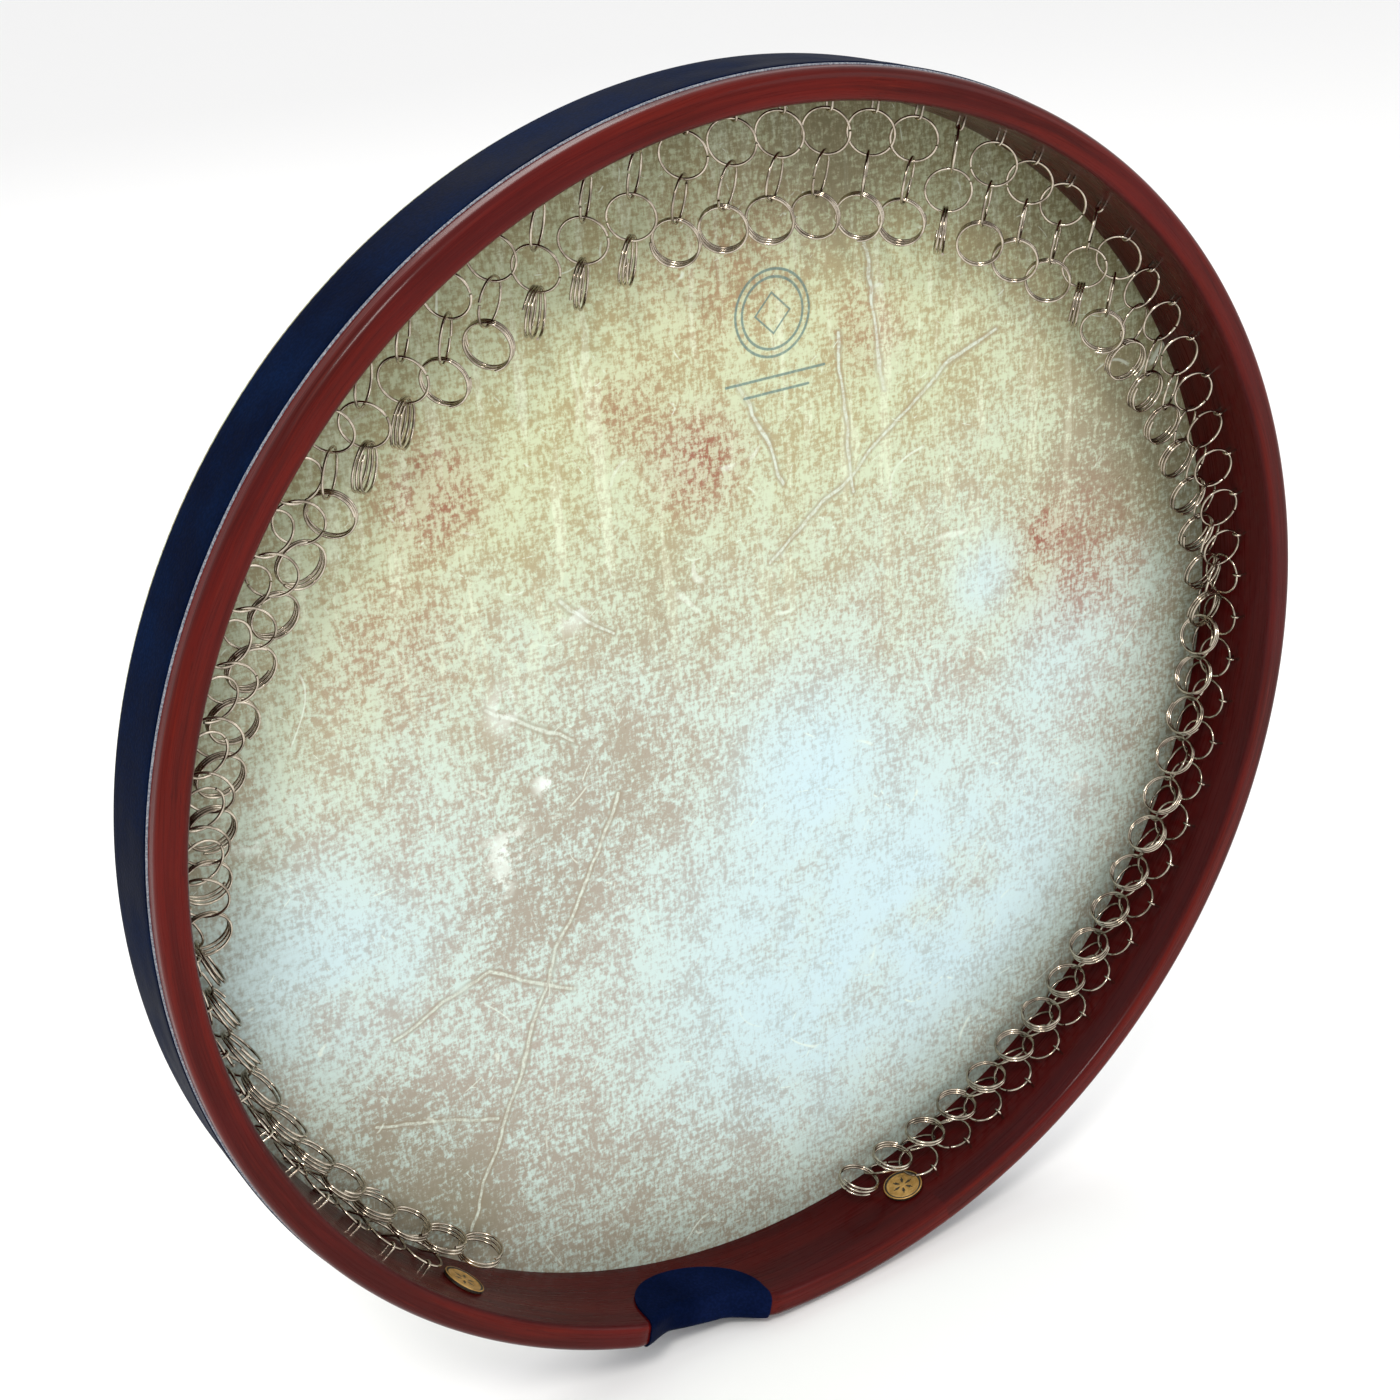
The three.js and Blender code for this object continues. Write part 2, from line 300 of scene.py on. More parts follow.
# The spots and clouds below are (x, z, radius, strength), in metres from the skin's centre.
WHITE_SPLASHES = (
    (-0.112, -0.020, 0.017, 0.9),
    (-0.120, -0.034, 0.010, 0.7),
    (-0.093, 0.004, 0.009, 0.9),
    (-0.214, 0.022, 0.012, 0.7),
    (-0.075, 0.070, 0.012, 0.5),
    (-0.108, 0.040, 0.014, 0.6),
    (0.018, 0.066, 0.008, 0.6),
    (0.178, -0.078, 0.016, 0.35),
)
# Pale clouds: partly the skin's own pale tone, partly painted glow, brighter blue-white where light would
# shine through the skin from behind.
PALE_CLOUDS_AND_PAINTED_GLOW = (
    (0.045, -0.125, 0.150, 0.95),
    (0.125, 0.032, 0.030, 0.6),
    (0.030, -0.020, 0.060, 0.6),
    (0.165, -0.020, 0.050, 0.4),
    (0.140, -0.120, 0.090, 0.5),
    (-0.205, -0.040, 0.070, 0.75),
    (-0.160, -0.050, 0.040, 0.35),
)
RED_STAINS = (
    (-0.127, 0.131, 0.034, 0.8),
    (-0.015, 0.117, 0.034, 0.8),
    (-0.045, 0.143, 0.030, 0.45),
    (0.160, 0.045, 0.014, 0.9),
    (0.178, 0.030, 0.060, 0.55),
    (0.068, 0.155, 0.030, 0.4),
    (0.000, 0.190, 0.060, 0.35),
    (-0.150, 0.080, 0.050, 0.3),
)
BROWN_CLOUDS = (
    (-0.070, -0.005, 0.075, 0.5),
    (-0.110, -0.055, 0.055, 0.5),
    (-0.040, 0.062, 0.045, 0.35),
    (-0.165, -0.150, 0.080, 0.6),
    (-0.110, -0.190, 0.080, 0.5),
    (-0.030, -0.205, 0.060, 0.4),
    (0.200, 0.075, 0.075, 0.8),
    (0.150, 0.165, 0.070, 0.5),
    (0.050, 0.220, 0.060, 0.7),
)


# A plain printed roundel with two rules under it.
ROUNDEL_PLACE = (0.023, 0.168)
ROUNDEL_RADIUS = 17 * MM
ROUNDEL_LINE = 0.75 * MM
ROUNDEL_CIRCLE_GAP = 3 * MM
ROUNDEL_DIAMOND = 8 * MM
# Each rule's height on the skin and half its length.
ROUNDEL_RULES = ((0.143, 0.023), (0.137, 0.015))


def roundel_mask(shader, point):
    """1 on the printed ornament's lines and 0 off them."""
    centre = (ROUNDEL_PLACE[0], 0, ROUNDEL_PLACE[1])
    distance = shader.vector("DISTANCE", point, centre)
    edges = []
    for radius in (ROUNDEL_RADIUS, ROUNDEL_RADIUS - ROUNDEL_CIRCLE_GAP):
        edges.append(shader.math("ABSOLUTE", shader.math("SUBTRACT", distance, radius)))
    offset = shader.vector("ABSOLUTE", shader.vector("SUBTRACT", point, centre))
    split = shader.node("ShaderNodeSeparateXYZ", (offset,))
    diamond = shader.math("ADD", split.outputs["X"], split.outputs["Z"])
    edges.append(shader.math("ABSOLUTE", shader.math("SUBTRACT", diamond, ROUNDEL_DIAMOND)))
    for height, half in ROUNDEL_RULES:
        start = (ROUNDEL_PLACE[0] - half, height)
        end = (ROUNDEL_PLACE[0] + half, height)
        edges.append(segment_distance(shader, point, start, end))
    nearest = edges[0]
    for edge in edges[1:]:
        nearest = shader.math("MINIMUM", nearest, edge)
    return shader.range(nearest, ROUNDEL_LINE, ROUNDEL_LINE * 0.45, 0, 1)


def skin_ground(shader, flat, height, cloud, patches):
    """The printed parchment: a pale and a dark colour for each region, broken up by short fibres, with
    painted glow in its pale clouds.
    """
    fibre = shader.noise(shader.stretched(flat, (560, 1, 230)), 1, 5, 0.72)
    cross = shader.noise(shader.stretched(flat, (210, 1, 560)), 1, 5, 0.7)
    weave = shader.math("MULTIPLY_ADD", cross, 0.45, shader.math("MULTIPLY", fibre, 0.55))
    level = shader.math("MULTIPLY_ADD", cloud, 0.16, shader.math("SUBTRACT", height, 0.08))
    upper = shader.range(level, -0.05, 0.16)
    light = shader.mix(upper, colour("#c8dbd3"), colour("#c9d2ae"))
    dark = shader.mix(upper, colour("#a7978a"), colour("#a59468"))
    # Painted glow on top of the skin's pale tone: the clouds brighten the skin and thin its dark fibres.
    pale_tone_and_painted_glow = soft_spots(shader, flat, PALE_CLOUDS_AND_PAINTED_GLOW)
    pale_tone_and_painted_glow = shader.math("MULTIPLY", pale_tone_and_painted_glow, shader.range(cloud, 0.25, 0.55))
    pale_tone_and_painted_glow = shader.math("MINIMUM", pale_tone_and_painted_glow, 0.95)
    light = shader.mix(pale_tone_and_painted_glow, light, colour("#c6dee5"))
    dark = shader.mix(pale_tone_and_painted_glow, dark, colour("#adbdbd"))
    brown = soft_spots(shader, flat, BROWN_CLOUDS)
    brown = shader.math("MULTIPLY", brown, shader.range(cloud, 0.3, 0.6, 0.5, 1))
    dark = shader.mix(shader.math("MINIMUM", brown, 0.8), dark, colour("#8f7f68"))
    density = shader.math("MULTIPLY_ADD", brown, 0.085, shader.math("MULTIPLY_ADD", patches, 0.34, -0.17))
    density = shader.math("MULTIPLY_ADD", pale_tone_and_painted_glow, -0.04, density)
    amount = shader.range(shader.math("ADD", weave, density), 0.44, 0.575, 0.05, 0.85)
    return shader.mix(amount, light, dark), weave


def skin_edge_browning_and_shadow(shader, flat, radius, weave, cloud):
    """How strongly the browned edge and the painted shadow of the hoop cover the ground, most at the upper
    right, where the painted shadow falls.
    """
    reach = shader.math("MULTIPLY_ADD", cloud, 0.07, shader.math("SUBTRACT", radius, 0.035))
    # Painted shadow of the hoop: the edge is darkened most towards the upper right.
    lean = shader.vector("DOT_PRODUCT", flat, (0.5 / INNER, 0, 0.86 / INNER))
    strength = shader.range(lean, -0.9, 0.9, 0.45, 0.8)
    edge = shader.math("MULTIPLY", shader.range(reach, 0.185, INNER), strength)
    return shader.math("MULTIPLY", edge, shader.range(weave, 0.4, 0.56, 0.55, 1.0))


def skin_scratches(shader, flat, patches):
    """Fine pale hair scratches, wandering over the skin and broken into short stretches."""
    found = None
    for scale, shift in ((9, 0.0), (15, 3.1), (23, 7.7)):
        moved = shader.vector("ADD", shader.scaled(flat, scale), (shift, shift, 0))
        drift = shader.noise(moved, 1, 1.5, 0.4)
        off_centre = shader.math("ABSOLUTE", shader.math("SUBTRACT", drift, 0.5))
        ridge = shader.range(off_centre, 0.0028, 0.0008)
        gaps = shader.range(shader.noise(shader.scaled(flat, 30), 1 + shift, 2), 0.55, 0.62)
        line = shader.math("MULTIPLY", ridge, gaps)
        found = line if found is None else shader.math("MAXIMUM", found, line)
    return shader.math("MULTIPLY", found, shader.range(patches, 0.35, 0.5, 0.3, 0.8))


def skin_material():
    shader = Shader("printed_skin", roughness=0.5, specular_ior_level=0.3)
    flat = shader.vector("MULTIPLY", shader.place, (1, 0, 1))
    radius = shader.vector("LENGTH", flat)
    height = shader.node("ShaderNodeSeparateXYZ", (flat,)).outputs["Z"]
    cloud = shader.noise(flat, 11, 6, 0.62)
    patches = shader.noise(flat, 48, 6, 0.68)
    speckle = shader.noise(flat, 650, 4, 0.7)
    base, weave = skin_ground(shader, flat, height, cloud, patches)

    # Pale drips near the top.
    bent = shader.vector("ADD", flat, shader.scaled((0.012, 0, 0), cloud))
    drip = shader.noise(shader.stretched(bent, (105, 1, 11)), 1, 4, 0.6)
    upper = shader.range(height, 0.0, 0.11)
    drip = shader.math("MULTIPLY", shader.range(drip, 0.545, 0.63), upper)
    drip = shader.math("MULTIPLY", drip, shader.range(weave, 0.4, 0.55, 1.0, 0.45))
    base = shader.mix(shader.math("MULTIPLY", drip, 0.65), base, colour("#dfe6cb"))

    # Red stains, broken up by the fibres.
    stain = soft_spots(shader, flat, RED_STAINS)
    broken = shader.range(weave, 0.46, 0.57, 0.1, 1)
    broken = shader.math("MULTIPLY", broken, shader.range(patches, 0.36, 0.56, 0.2, 1))
    blush = shader.math("MULTIPLY", stain, 0.22)
    base = shader.mix(shader.math("MINIMUM", blush, 0.3), base, colour("#b3846c"))
    stain = shader.math("MULTIPLY", stain, broken)
    base = shader.mix(shader.math("MINIMUM", stain, 0.8), base, colour("#8e4638"))
    grains = shader.math("MULTIPLY", shader.range(speckle, 0.6, 0.72), shader.range(patches, 0.4, 0.6))
    base = shader.mix(shader.math("MULTIPLY", grains, 0.45), base, colour("#84603f"))
    # Browned edge with the painted shadow of the hoop, darkest at the upper right.
    base = shader.mix(skin_edge_browning_and_shadow(shader, flat, radius, weave, cloud), base, colour("#6c6847"))

    # Creases with painted shade along each one, splashes and scratches.
    shake = shader.node("ShaderNodeTexNoise")
    shader.feed(shake.inputs["Vector"], flat)
    shader.feed(shake.inputs["Scale"], 38.0)
    push = shader.vector("SUBTRACT", shake.outputs["Color"], (0.5, 0.5, 0.5))
    shaken = shader.vector("ADD", flat, shader.vector("MULTIPLY", push, (0.009, 0, 0.009)))
    distance = nearest_line(shader, shaken, CREASES)
    crease_wear_and_shade = shader.range(weave, 0.44, 0.56, 1, 0.4)
    crease_wear_and_shade = shader.math("MULTIPLY", crease_wear_and_shade, shader.range(patches, 0.34, 0.5, 0.5, 1))
    # Painted shade: a darker brown band along each crease, where the fold would be shaded.
    shade = shader.math("MULTIPLY", shader.range(distance, 2.4 * MM, 1.1 * MM, 0, 0.6), crease_wear_and_shade)
    base = shader.mix(shade, base, colour("#8c7a60"))
    crease = shader.math("MULTIPLY", shader.range(distance, 0.95 * MM, 0.35 * MM), crease_wear_and_shade)
    base = shader.mix(shader.math("MULTIPLY", crease, 0.75), base, colour("#dde8da"))
    splash = soft_spots(shader, shaken, WHITE_SPLASHES)
    splash = shader.math("MULTIPLY", splash, shader.range(patches, 0.5, 0.56))
    base = shader.mix(shader.math("MINIMUM", splash, 0.9), base, colour("#e8f3ea"))
    scratch = skin_scratches(shader, flat, patches)
    base = shader.mix(shader.math("MULTIPLY", scratch, 0.7), base, colour("#e4eee0"))

    ink = shader.math("MULTIPLY", roundel_mask(shader, flat), shader.range(speckle, 0.3, 0.55, 0.55, 0.85))
    base = shader.mix(ink, base, colour("#5c7a76"))
    shader.set("Base Color", base)
    shader.set("Roughness", shader.range(patches, 0.3, 0.7, 0.42, 0.6))
    relief = shader.math("MULTIPLY_ADD", weave, 0.7, speckle)
    relief = shader.math("MULTIPLY_ADD", crease, 1.0, relief)
    shader.bump(relief, 0.00012, 0.5)
    return shader.material


def vinyl_material(name, dark, light):
    shader = Shader(name, roughness=0.55, specular_ior_level=0.005)
    pebble = shader.node("ShaderNodeTexVoronoi", feature="SMOOTH_F1")
    shader.feed(pebble.inputs["Vector"], shader.place)
    shader.feed(pebble.inputs["Scale"], 900.0)
    cells = pebble.outputs["Distance"]
    drift = shader.noise(shader.place, 25, 4)
    fine = shader.noise(shader.place, 1800, 3)
    base = shader.mix(shader.range(drift, 0.35, 0.7), colour(dark), colour(light))
    base = shader.mix(shader.range(cells, 0.2, 0.6, 0, 0.3), base, colour("#010409"))
    scuff = shader.math("MULTIPLY", shader.range(fine, 0.6, 0.75), shader.range(drift, 0.5, 0.65))
    base = shader.mix(shader.math("MULTIPLY", scuff, 0.2), base, colour("#1c2a4a"))
    shader.set("Base Color", base)
    shader.set("Roughness", shader.range(drift, 0.3, 0.7, 0.4, 0.55))
    shader.bump(shader.math("MULTIPLY_ADD", fine, 0.3, shader.math("MULTIPLY", cells, -1)), 0.00012, 0.5)
    return shader.material


def backing_material():
    shader = Shader("band_backing_cloth", roughness=0.85)
    weave = shader.noise(shader.place, 1500, 3)
    base = shader.mix(shader.range(weave, 0.35, 0.7), colour("#5d6270"), colour("#a3a7ad"))
    shader.set("Base Color", base)
    shader.bump(weave, 0.0001, 0.6)
    return shader.material


def steel_material():
    shader = Shader("nickel_wire", metallic=1.0, roughness=0.2)
    stain = shader.noise(shader.place, 160, 3)
    drawn = shader.noise(shader.place, 1400, 3)
    base = shader.mix(shader.range(stain, 0.35, 0.7), colour("#c8bdac"), colour("#85796b"))
    base = shader.mix(shader.range(drawn, 0.55, 0.75, 0, 0.35), base, colour("#463e36"))
    shader.set("Base Color", base)
    shader.set("Roughness", shader.range(drawn, 0.3, 0.7, 0.09, 0.2))
    shader.bump(drawn, 0.00003, 0.4)
    return shader.material


def brass_material():
    shader = Shader("label_brass", metallic=0.4, roughness=0.38)
    stain = shader.noise(shader.place, 380, 4)
    drawn = shader.noise(shader.stretched(shader.place, (400, 3500, 400)), 1, 3)
    base = shader.mix(shader.range(stain, 0.35, 0.68), colour("#c79c58"), colour("#a47d3e"))
    base = shader.mix(shader.range(drawn, 0.5, 0.75, 0, 0.3), base, colour("#e0c896"))
    shader.set("Base Color", base)
    shader.set("Roughness", shader.range(stain, 0.3, 0.7, 0.28, 0.46))
    shader.bump(drawn, 0.00003, 0.4)
    return shader.material


def enamel_material():
    shader = Shader("label_dark_enamel", roughness=0.4)
    stain = shader.noise(shader.place, 700, 3)
    base = shader.mix(shader.range(stain, 0.4, 0.7), colour("#15130f"), colour("#3a3326"))
    shader.set("Base Color", base)
    shader.bump(stain, 0.00004, 0.4)
    return shader.material


WOOD = wood_material()
SKIN = skin_material()
BAND_VINYL = vinyl_material("navy_band_vinyl", "#020b24", "#071836")
PAD_VINYL = vinyl_material("navy_pad_vinyl", "#060f2a", "#0d1839")
BACKING = backing_material()
STEEL = steel_material()
BRASS = brass_material()
ENAMEL = enamel_material()


# ---------------------------------------------------------------- mesh helpers


def make_piece(name, vertices, faces, materials, body, replaced=(), sharp=40, place=None):
    """A mesh piece with its normals pointing out, riding on a body."""
    mesh = bpy.data.meshes.new(name)
    mesh.from_pydata([tuple(v) for v in vertices], [], faces)
    work = bmesh.new()
    work.from_mesh(mesh)
    bmesh.ops.remove_doubles(work, verts=work.verts, dist=1e-7)
    bmesh.ops.recalc_face_normals(work, faces=work.faces)
    work.to_mesh(mesh)
    work.free()
    for material in materials:
        mesh.materials.append(material)
    mesh.polygons.foreach_set("use_smooth", [True] * len(mesh.polygons))
    mesh.set_sharp_from_angle(angle=math.radians(sharp))
    piece = bpy.data.objects.new(name, mesh)
    scene.collection.objects.link(piece)
    if place is not None:
        piece.matrix_world = place
    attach(piece, body)
    if replaced:
        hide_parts(*replaced)
    return piece


def arc(centre_radius, centre_y, radius, start, end, steps):
    """Points of an arc in the plane of radius and y, its angles in degrees."""
    points = []
    for step in range(steps + 1):
        angle = math.radians(start + (end - start) * step / steps)
        points.append((centre_radius + radius * math.cos(angle), centre_y + radius * math.sin(angle)))
    return points


def straight(start, end, steps):
    """Points strictly between two points."""
    return [
        tuple(a + (b - a) * step / steps for a, b in zip(start, end))
        for step in range(1, steps)
    ]


def carried_round(outline_at, steps, closed=True):
    """Vertices and faces of an outline of (radius, y) points carried round the drum's axis."""
    vertices = []
    count = len(outline_at(0.0))
    for step in range(steps):
        angle = 2 * math.pi * step / steps
        for radius, y in outline_at(angle):
            vertices.append((radius * math.sin(angle), y, radius * math.cos(angle)))
    faces = []
    for step in range(steps):
        here = step * count
        there = (step + 1) % steps * count
        for index in range(count if closed else count - 1):
            after = (index + 1) % count
            faces.append((here + index, here + after, there + after, there + index))
    return vertices, faces


def tube(path, radius, sides, closed=False):
    """Vertices and faces of a round wire along (point, side direction) pairs, its open ends capped."""
    vertices = []
    count = len(path)
    for index, (point, side) in enumerate(path):
        before = path[index - 1][0] if index or closed else point
        after = path[(index + 1) % count][0] if index < count - 1 or closed else point
        tangent = (after - before).normalized()
        first = (side - tangent * side.dot(tangent)).normalized()
        second = tangent.cross(first)
        for turn in range(sides):
            angle = 2 * math.pi * turn / sides
            vertices.append(point + (first * math.cos(angle) + second * math.sin(angle)) * radius)
    faces = []
    for index in range(count if closed else count - 1):
        here = index * sides
        there = (index + 1) % count * sides
        for turn in range(sides):
            after = (turn + 1) % sides
            faces.append((here + turn, here + after, there + after, there + turn))
    if not closed:
        faces.append(tuple(range(sides)))
        faces.append(tuple(range((count - 1) * sides, count * sides)))
    return vertices, faces


def joined(parts):
    """Several (vertices, faces) pairs as one."""
    vertices = []
    faces = []
    for part_vertices, part_faces in parts:
        start = len(vertices)
        vertices.extend(part_vertices)
        faces.extend(tuple(start + index for index in face) for face in part_faces)
    return vertices, faces


def smooth(value):
    value = min(max(value, 0.0), 1.0)
    return value * value * (3 - 2 * value)


# ---------------------------------------------------------------- hoop

HOOP_STEPS = 960
INNER_ROUND = 3 * MM
OUTER_ROUND = 4 * MM
HOOP_END_Y = SKIN_IN - 0.05 * MM
SKIN_END_OUTER_ROUND = 0.8 * MM
SKIN_END_INNER_ROUND = 0.4 * MM
BAND_CLEARANCE = 1.2 * MM
# The step that the band sits in starts a little nearer the rim than the band, with a broken corner.
STEP_MARGIN = 0.3 * MM
STEP_CORNER = 0.1 * MM
STEP_SLOPE = 0.05 * MM
WALL_UNEVENNESS = 0.12 * MM


def notch_depth(across):
    """How deep the notch is cut at a distance across it."""
    return NOTCH_DEPTH * smooth((NOTCH_WIDTH / 2 - abs(across)) / NOTCH_SHOULDER)


def depth_at(radius, angle):
    lean = angle - NOTCH_ANGLE
    return notch_depth(radius * math.sin(lean)) if math.cos(lean) > 0 else 0.0


def band_edge(angle):
    """The height of the band's open edge, which climbs round the notch."""
    return max(band_low.y, RIM_Y + depth_at(OUTER, angle) + OUTER_ROUND + BAND_CLEARANCE)


def hoop_outline(angle):
    rim = arc(INNER + INNER_ROUND, INNER_ROUND, INNER_ROUND, 180, 270, 5)
    rim += straight((INNER + INNER_ROUND, 0), (OUTER - OUTER_ROUND, 0), 4)
    rim += arc(OUTER - OUTER_ROUND, OUTER_ROUND, OUTER_ROUND, 270, 360, 9)
    points = [(radius, RIM_Y + rise + depth_at(radius, angle)) for radius, rise in rim]
    step_y = band_edge(angle) - STEP_MARGIN
    points += [(OUTER, step_y - STEP_CORNER), (OUTER - STEP_CORNER, step_y)]
    points.append((UNDER_BAND, step_y + STEP_SLOPE))
    points += straight((UNDER_BAND, step_y), (UNDER_BAND, HOOP_END_Y), 4)
    size = SKIN_END_OUTER_ROUND
    points += arc(UNDER_BAND - size, HOOP_END_Y - size, size, 0, 90, 3)
    size = SKIN_END_INNER_ROUND
    points += arc(INNER + size, HOOP_END_Y - size, size, 90, 180, 3)
    last_y = RIM_Y + INNER_ROUND + NOTCH_DEPTH + 0.5 * MM
    wall = straight((INNER, HOOP_END_Y - size), (INNER, last_y), 6)
    unevenness = noise.noise(Vector((math.sin(angle), math.cos(angle), 0)) * 6)
    points += [(radius + WALL_UNEVENNESS * unevenness, y) for radius, y in wall]
    points.append((INNER, last_y))
    return points


vertices, faces = carried_round(hoop_outline, HOOP_STEPS)
make_piece("wooden_hoop", vertices, faces, [WOOD], "drum", ["hoop"])


# ---------------------------------------------------------------- skin

SKIN_STEPS = 360
SKIN_RADIAL_STEPS = 30
SKIN_SAG = 0.22 * MM
SKIN_SAG_FADE = 60 * MM
SKIN_PUCKER = 0.1 * MM
SKIN_ROUND = 2 * MM
SKIN_FOLD = 1 * MM


def skin_sag(radius, angle):
    """A slow unevenness of the stretched skin, nothing where it meets the hoop."""
    place = Vector((radius * math.sin(angle), radius * math.cos(angle), 0)) * 14
    return SKIN_SAG * noise.noise(place) * smooth((INNER - radius) / SKIN_SAG_FADE)


def skin_outline(angle):
    drift = noise.noise(Vector((math.sin(angle), math.cos(angle), 1)) * 9)
    pucker = SKIN_PUCKER * math.sin(angle * 150) * drift
    skirt_inner = UNDER_BAND + 0.06 * MM
    skirt_outer = BAND_OUTER - BAND_THICKNESS - 0.04 * MM
    edge = OUTER + 0.1 * MM
    inside = [(INNER * step / SKIN_RADIAL_STEPS, SKIN_IN) for step in range(SKIN_RADIAL_STEPS + 1)]
    points = [(radius, y + skin_sag(radius, angle)) for radius, y in inside]
    points += [(UNDER_BAND - 1.2 * MM, SKIN_IN)]
    points += arc(skirt_inner - SKIN_FOLD, SKIN_IN - SKIN_FOLD, SKIN_FOLD, 90, 0, 3)
    points += [(skirt_inner, band_high.y - SKIN_FOLD), (skirt_outer, band_high.y - SKIN_FOLD)]
    points += [(skirt_outer, band_high.y + 0.1 * MM), (edge + pucker, band_high.y + 0.8 * MM)]
    points += [(edge + pucker, SKIN_OUT - 2.4 * MM)]
    flat_edge = edge - SKIN_ROUND
    points += arc(flat_edge, SKIN_OUT - SKIN_ROUND, SKIN_ROUND, 0, 90, 6)
    for step in range(SKIN_RADIAL_STEPS - 1, -1, -1):
        radius = flat_edge * step / SKIN_RADIAL_STEPS
        points.append((radius, SKIN_OUT + skin_sag(radius, angle)))
    return points


vertices, faces = carried_round(skin_outline, SKIN_STEPS, closed=False)
make_piece("skin_head", vertices, faces, [SKIN], "drum", ["drum_head"])


# ---------------------------------------------------------------- band

BAND_LAP_ANGLE = math.radians(212)
BAND_LAP_WIDTH = math.radians(2.6)
BAND_LAP_FADE = 0.01
BAND_LAP_HEIGHT = 0.45 * MM
BAND_ROUND = 0.5 * MM
BAND_LUMPS = 0.16 * MM
BACKING_SHOWS = 0.75 * MM
BACKING_THICKNESS = 0.6 * MM
BACKING_WOBBLE = 0.12 * MM
BACKING_OFF_WOOD = 0.02 * MM


def band_outline(angle):
    inner = BAND_OUTER - BAND_THICKNESS
    into_lap = angle - BAND_LAP_ANGLE
    out_of_lap = BAND_LAP_ANGLE + BAND_LAP_WIDTH - angle
    lap = smooth(into_lap / BAND_LAP_FADE) * smooth(out_of_lap / BAND_LAP_FADE)
    outer = BAND_OUTER + BAND_LAP_HEIGHT * lap
    low = band_edge(angle)
    high = band_high.y
    points = [(inner, low)]
    points += arc(outer - BAND_ROUND, low + BAND_ROUND, BAND_ROUND, 270, 360, 4)
    for radius, y in straight((outer, low + BAND_ROUND), (outer, high - BAND_ROUND), 9):
        lump = noise.noise(Vector((math.sin(angle) * 14, math.cos(angle) * 14, y * 120)))
        points.append((radius + BAND_LUMPS * lump, y))
    points += arc(outer - BAND_ROUND, high - BAND_ROUND, BAND_ROUND, 0, 90, 4)
    points.append((inner, high))
    return points


def backing_outline(angle):
    """The cloth under the band, which shows as a thin uneven line along its open edge."""
    wobble = BACKING_WOBBLE * noise.noise(Vector((math.sin(angle) * 30, math.cos(angle) * 30, 0)))
    low = band_edge(angle) - BACKING_SHOWS + wobble
    high = band_edge(angle) - 0.03 * MM
    return [
        (OUTER + BACKING_OFF_WOOD, low),
        (OUTER + 0.35 * MM, low + 0.02 * MM),
        (OUTER + BACKING_THICKNESS, low + 0.25 * MM),
        (OUTER + BACKING_THICKNESS, high),
        (OUTER + BACKING_OFF_WOOD, high),
    ]


vertices, faces = carried_round(band_outline, HOOP_STEPS)
make_piece("vinyl_band", vertices, faces, [BAND_VINYL], "drum", ["outer_band"])
vertices, faces = carried_round(backing_outline, HOOP_STEPS)
make_piece("band_backing", vertices, faces, [BACKING], "drum")


# ---------------------------------------------------------------- grip pad

PAD_COLUMNS = 72
PAD_UNDERSIDE = 0.12 * MM
PAD_FACE = 1.0 * MM
PAD_EDGE_FACE = 0.6 * PAD_FACE
# Keeps the outermost columns just inside the pad's width.
PAD_REACH = 0.999


def pad_column(across, offset):
    """The pad's points over the notch at one place across it, lifted by offset from the wood."""
    depth = notch_depth(across)
    reach = max(1 - (across / (PAD_WIDTH / 2)) ** 2, 0.0)
    top = NOTCH_DEPTH + PAD_HEIGHT * math.sqrt(reach)
    inner_arc = arc(INNER + INNER_ROUND, depth + INNER_ROUND, INNER_ROUND + offset, 180, 270, 6)
    outer_arc = arc(OUTER - OUTER_ROUND, depth + OUTER_ROUND, OUTER_ROUND + offset, 270, 350, 9)
    points = [(INNER - offset, top)] + straight((INNER - offset, top), inner_arc[0], 26)
    points += inner_arc
    points += straight(inner_arc[-1], outer_arc[0], 6)
    points += outer_arc
    return points


def grip_pad():
    out = Vector((math.sin(NOTCH_ANGLE), 0, math.cos(NOTCH_ANGLE)))
    across_way = Vector((math.cos(NOTCH_ANGLE), 0, -math.sin(NOTCH_ANGLE)))
    columns = []
    for step in range(PAD_COLUMNS + 1):
        across = PAD_WIDTH / 2 * math.sin(math.pi * (step / PAD_COLUMNS - 0.5)) * PAD_REACH
        face = PAD_EDGE_FACE if step in (0, PAD_COLUMNS) else PAD_FACE
        loop = pad_column(across, face) + pad_column(across, PAD_UNDERSIDE)[::-1]
        points = []
        for radius, rise in loop:
            depth = math.sqrt(radius**2 - across**2)
            points.append(across_way * across + out * depth + Vector((0, RIM_Y + rise, 0)))
        columns.append(points)
    count = len(columns[0])
    vertices = [point for column in columns for point in column]
    faces = []
    for column in range(PAD_COLUMNS):
        for row in range(count):
            here = column * count
            after = (row + 1) % count
            faces.append((here + row, here + after, here + count + after, here + count + row))
    half = count // 2
    for here in (0, PAD_COLUMNS * count):
        for row in range(half - 1):
            faces.append((here + row, here + row + 1, here + count - 2 - row, here + count - 1 - row))
    return vertices, faces


vertices, faces = grip_pad()
make_piece("grip_patch", vertices, faces, [PAD_VINYL], "drum", ["grip_pad"], sharp=50)


# ---------------------------------------------------------------- label badges

BADGE_RADIUS = 9 * MM
BADGE_FROM_RIM = 23 * MM
BADGE_ANGLES = {"right": 167.2, "left": 220.7}
BADGE_SECTORS = 96
BADGE_PETALS = 6
BADGE_SINK = 0.25 * MM
BADGE_GROOVE = (7.5 * MM, 8.4 * MM)
BADGE_SIDE_FROM = 8.95 * MM
PETAL_REACH = (1.5 * MM, 4.5 * MM)
PETAL_WIDTH = 0.24
